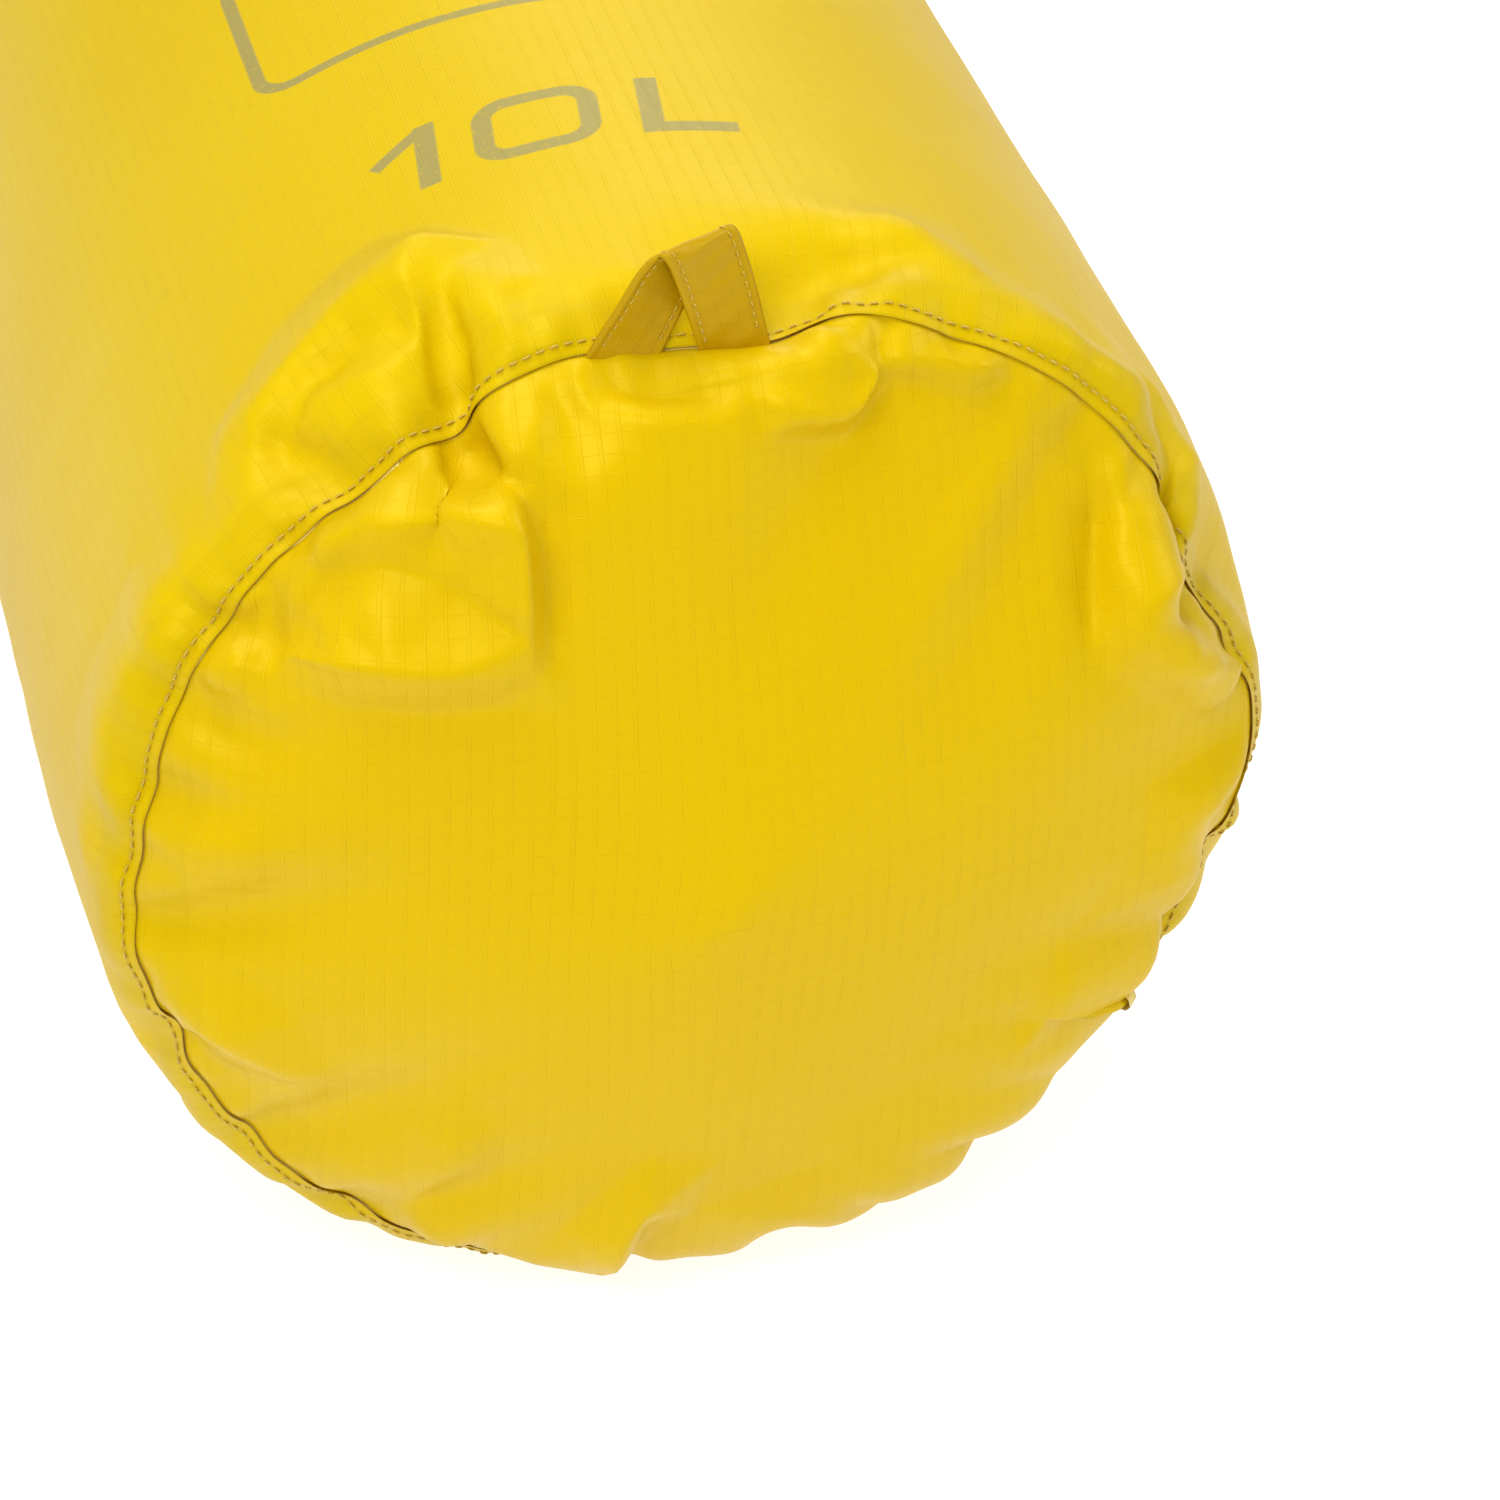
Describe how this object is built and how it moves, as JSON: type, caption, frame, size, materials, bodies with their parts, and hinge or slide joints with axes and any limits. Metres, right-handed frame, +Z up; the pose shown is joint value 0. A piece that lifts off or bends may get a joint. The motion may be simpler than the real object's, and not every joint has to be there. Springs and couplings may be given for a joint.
{
  "type": "stuff sack",
  "caption": "Roll-top stuff sack of coated ripstop fabric lying filled on its side, with a round base, a haul loop on the base seam and a side-release buckle closing the roll.",
  "frame": {"origin": "bottom centre of the closed sack's bounding box: the middle of the length and width, on the surface it lies on", "axes": "+Y along the sack from the round base to the rolled mouth, +Z up, +X to the right seen from the base"},
  "size_m": [0.196, 0.4, 0.2],
  "materials": {
    "sack_fabric": "glossy coated ripstop nylon",
    "seam_tape": "translucent welded tape",
    "thread": "twisted polyester thread",
    "tack_thread": "dense bar of stitching",
    "webbing": "woven nylon webbing",
    "buckle_plastic": "satin moulded acetal",
    "stiffener": "flexible plastic strip"
  },
  "bodies": {
    "sack": {"body_tube": "sack_fabric", "bottom_panel": "sack_fabric", "bottom_seam_allowance": "sack_fabric", "bottom_seam_tape": "seam_tape", "bottom_seam_topstitch": "thread", "side_seam_tape": "seam_tape", "side_seam_topstitch": "thread", "neck": "sack_fabric"},
    "haul_loop": {"haul_loop_strap": "sack_fabric", "haul_loop_stitch_front": "thread", "haul_loop_stitch_back": "thread"},
    "roll_top": {"rolled_mouth": "sack_fabric", "stiffener_inner": "stiffener", "stiffener_outer": "stiffener", "socket_tab": "webbing", "plug_tab": "webbing", "socket_tab_bartack": "tack_thread", "plug_tab_bartack": "tack_thread", "buckle_socket": "buckle_plastic"},
    "buckle_plug": {"buckle_plug": "buckle_plastic"},
    "plug_arm_front": {"plug_arm_front": "buckle_plastic"},
    "plug_arm_back": {"plug_arm_back": "buckle_plastic"}
  },
  "joints": [
    {"name": "haul_loop_flop", "type": "hinge", "parent": "sack", "child": "haul_loop", "pos_m": [0, -0.174, 0.1839], "axis": [1, 0, 0], "range_deg": [-28, 60], "stiffness_Nm_per_rad": 0.002},
    {"name": "roll_top_tilt", "type": "hinge", "parent": "sack", "child": "roll_top", "pos_m": [0, 0.14, 0.0915], "axis": [1, 0, 0], "range_deg": [-22, 22], "deforming": ["neck"]},
    {"name": "buckle_release", "type": "slide", "parent": "roll_top", "child": "buckle_plug", "axis": [-1, 0, 0], "range_m": [0, 0.0155], "deforming": ["plug_tab", "plug_arm_front", "plug_arm_back", "plug_tab_bartack"]},
    {"name": "plug_arm_front_flex", "type": "hinge", "parent": "buckle_plug", "child": "plug_arm_front", "pos_m": [0.0049, 0.1789, 0.1465], "axis": [0, 0, 1], "range_deg": [0, 9.5], "stiffness_Nm_per_rad": 0.02},
    {"name": "plug_arm_back_flex", "type": "hinge", "parent": "buckle_plug", "child": "plug_arm_back", "pos_m": [0.0049, 0.1931, 0.1465], "axis": [0, 0, -1], "range_deg": [0, 9.5], "stiffness_Nm_per_rad": 0.02}
  ]
}
